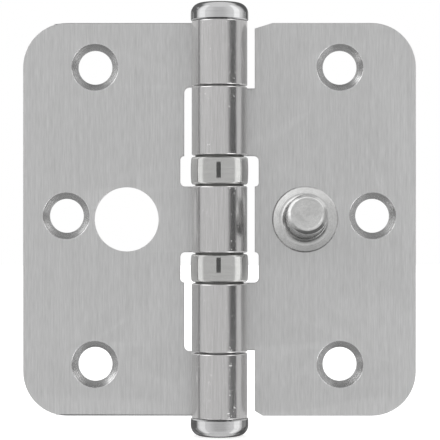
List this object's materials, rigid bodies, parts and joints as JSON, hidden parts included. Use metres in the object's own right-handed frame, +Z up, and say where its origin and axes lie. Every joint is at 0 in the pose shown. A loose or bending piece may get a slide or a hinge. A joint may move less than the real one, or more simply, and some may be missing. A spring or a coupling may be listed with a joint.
{
  "type": "ball bearing hinge",
  "caption": "Steel butt hinge lying open flat, with rounded leaf corners, rolled knuckles on ball bearings, domed pin caps and a security stud that enters the frame leaf when shut.",
  "frame": {"origin": "on the plane of the leaves' backs, straight behind the pin's axis at the middle of its length", "axes": "+Z up along the pin, +Y out of the backs of the open leaves, +X towards the door leaf"},
  "size_m": [0.089, 0.0155, 0.0974],
  "materials": {
    "brushed_leaf": "satin stainless steel, hairline brushed along the pin",
    "polished_steel": "polished stainless steel",
    "stud_steel": "turned steel, matt, bright at the worn rim",
    "pin_steel": "ground steel",
    "race_steel": "hardened steel, polished in the grooves",
    "ball_steel": "mirror polished",
    "cage_brass": "stamped sheet"
  },
  "bodies": {
    "frame_side": {"frame_leaf": "brushed_leaf", "hinge_pin": "pin_steel", "top_cap": "polished_steel", "bottom_cap": "polished_steel", "upper_shell": "polished_steel", "upper_bottom_race": "race_steel", "lower_top_race": "race_steel"},
    "door_side": {"door_leaf": "brushed_leaf", "security_stud": "stud_steel", "upper_top_race": "race_steel", "lower_shell": "polished_steel", "lower_bottom_race": "race_steel"},
    "upper_roller": {"upper_cage": "cage_brass", "upper_ball_01": "ball_steel", "upper_ball_02": "ball_steel", "upper_ball_03": "ball_steel", "upper_ball_04": "ball_steel", "upper_ball_05": "ball_steel", "upper_ball_06": "ball_steel", "upper_ball_07": "ball_steel", "upper_ball_08": "ball_steel", "upper_ball_09": "ball_steel", "upper_ball_10": "ball_steel", "upper_ball_11": "ball_steel", "upper_ball_12": "ball_steel"},
    "lower_roller": {"lower_cage": "cage_brass", "lower_ball_01": "ball_steel", "lower_ball_02": "ball_steel", "lower_ball_03": "ball_steel", "lower_ball_04": "ball_steel", "lower_ball_05": "ball_steel", "lower_ball_06": "ball_steel", "lower_ball_07": "ball_steel", "lower_ball_08": "ball_steel", "lower_ball_09": "ball_steel", "lower_ball_10": "ball_steel", "lower_ball_11": "ball_steel", "lower_ball_12": "ball_steel"}
  },
  "joints": [
    {"name": "door_swing", "type": "hinge", "parent": "frame_side", "child": "door_side", "pos_m": [0, -0.00625, 0], "axis": [0, 0, -1], "range_deg": [-90, 180]},
    {"name": "upper_cage_roll", "type": "hinge", "parent": "frame_side", "child": "upper_roller", "pos_m": [0, -0.00625, 0.0109], "axis": [0, 0, -1], "range_deg": [-45, 90]},
    {"name": "lower_cage_roll", "type": "hinge", "parent": "frame_side", "child": "lower_roller", "pos_m": [0, -0.00625, -0.0109], "axis": [0, 0, -1], "range_deg": [-45, 90]}
  ],
  "couplings": [
    {"joint": "upper_cage_roll", "follows": "door_swing", "ratio": 0.5},
    {"joint": "lower_cage_roll", "follows": "door_swing", "ratio": 0.5}
  ]
}
